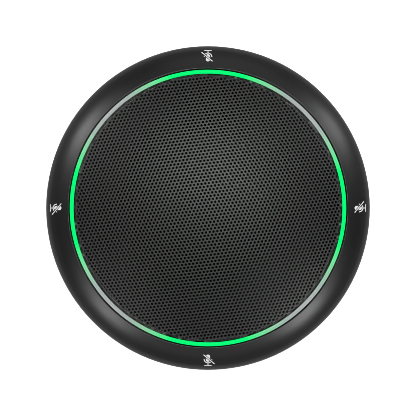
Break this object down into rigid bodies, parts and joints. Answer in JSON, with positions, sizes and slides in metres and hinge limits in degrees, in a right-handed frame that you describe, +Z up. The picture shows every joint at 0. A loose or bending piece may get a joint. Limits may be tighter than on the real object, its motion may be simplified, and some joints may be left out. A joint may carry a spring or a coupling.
{
  "type": "conference speakerphone",
  "caption": "Round table speakerphone with a domed perforated grille, a light ring, a satin bezel with touch mute keys, and a loudspeaker and microphones inside.",
  "frame": {"origin": "on the table under the centre of the round body, at the foot ring's underside", "axes": "+Z up out of the grille, front (one mute key) towards -Y, cable socket at the rear (+Y)"},
  "size_m": [0.134, 0.134, 0.0355],
  "materials": {
    "casing_black": "moulded, fine spark-eroded texture",
    "bezel_black": "satin, soft-touch coating",
    "grille_metal": "punched steel, fine matte powder coat",
    "ring_diffuser": "milky translucent, satin",
    "silicone_black": "moulded silicone, dusty matte",
    "foam_black": "closed-cell foam",
    "frame_black": "moulded, glass-filled",
    "reflector_white": "moulded, bright matte white",
    "board_green": "solder mask over copper tracks",
    "board_white": "white solder mask",
    "chip_black": "moulded epoxy",
    "led_lens": "silicone lens over a white body",
    "shield_tin": "tinned, stamped",
    "steel_bright": "drawn, bright",
    "screw_steel": "zinc plated, black passivate",
    "basket_steel": "pressed steel, black electrophoretic paint",
    "motor_steel": "zinc plated, turned",
    "ferrite": "sintered ferrite, ground faces",
    "cone_paper": "pressed fibre, coated",
    "cap_fibre": "woven, coated",
    "spider_cloth": "resin-stiffened woven cotton",
    "coil_former": "amber polyimide film",
    "coil_copper": "enamelled copper wire",
    "acoustic_cloth": "fine open weave",
    "connector_white": "moulded nylon",
    "connector_black": "moulded, heat-resistant",
    "cable_film": "laminated polyester film",
    "lead_red": "extruded sleeve",
    "foil_copper": "copper on amber film",
    "plate_grey": "printed film, blank",
    "strip_brown": "fibre board",
    "inductor_grey": "pressed ferrite powder",
    "capacitor_can": "drawn can"
  },
  "bodies": {
    "enclosure": {"acoustic_cloth": "acoustic_cloth", "amp_inductors": "inductor_grey", "amplifier_chip": "chip_black", "audio_codec_chip": "chip_black", "baffle": "frame_black", "bezel_screws": "screw_steel", "board_screws": "screw_steel", "bottom_housing": "casing_black", "bulk_capacitors": "capacitor_can", "casing_screws": "screw_steel", "enclosure_gasket": "foam_black", "foot_ring": "silicone_black", "grille": "grille_metal", "led_cable": "cable_film", "led_connector": "connector_white", "led_packages": "led_lens", "led_reflector": "reflector_white", "led_ring_board": "board_white", "light_guide": "ring_diffuser", "main_board": "board_green", "mic_board_front_left": "board_green", "mic_board_front_right": "board_green", "mic_board_rear_left": "board_green", "mic_board_rear_right": "board_green", "mic_boot_front_left": "silicone_black", "mic_boot_front_right": "silicone_black", "mic_boot_rear_left": "silicone_black", "mic_boot_rear_right": "silicone_black", "mic_capsules": "steel_bright", "mic_connectors": "connector_white", "mic_ribbons": "cable_film", "processor_shield": "shield_tin", "rating_plate": "plate_grey", "reset_switch": "steel_bright", "speaker_basket": "basket_steel", "speaker_connector": "connector_white", "speaker_gasket": "foam_black", "speaker_leads": "lead_red", "speaker_magnet": "ferrite", "speaker_screws": "screw_steel", "speaker_surround": "silicone_black", "speaker_terminals": "strip_brown", "speaker_top_plate": "motor_steel", "speaker_yoke": "motor_steel", "spider": "spider_cloth", "top_bezel": "bezel_black", "touch_contacts": "steel_bright", "touch_pad_front": "foil_copper", "touch_pad_left": "foil_copper", "touch_pad_rear": "foil_copper", "touch_pad_right": "foil_copper", "usb_c_shell": "steel_bright", "usb_c_tongue": "connector_black"},
    "speaker_cone_assembly": {"speaker_cone": "cone_paper", "dust_cap": "cap_fibre", "coil_former": "coil_former", "coil_winding": "coil_copper"},
    "reset_button": {"reset_button": "connector_black"}
  },
  "joints": [
    {"name": "cone_excursion", "type": "slide", "parent": "enclosure", "child": "speaker_cone_assembly", "axis": [0, 0, 1], "range_m": [-0.0015, 0.0015], "stiffness_N_per_m": 1000, "deforming": ["speaker_surround", "spider"]},
    {"name": "reset_press", "type": "slide", "parent": "enclosure", "child": "reset_button", "axis": [0, 0, 1], "range_m": [0, 0.0003], "stiffness_N_per_m": 400}
  ]
}
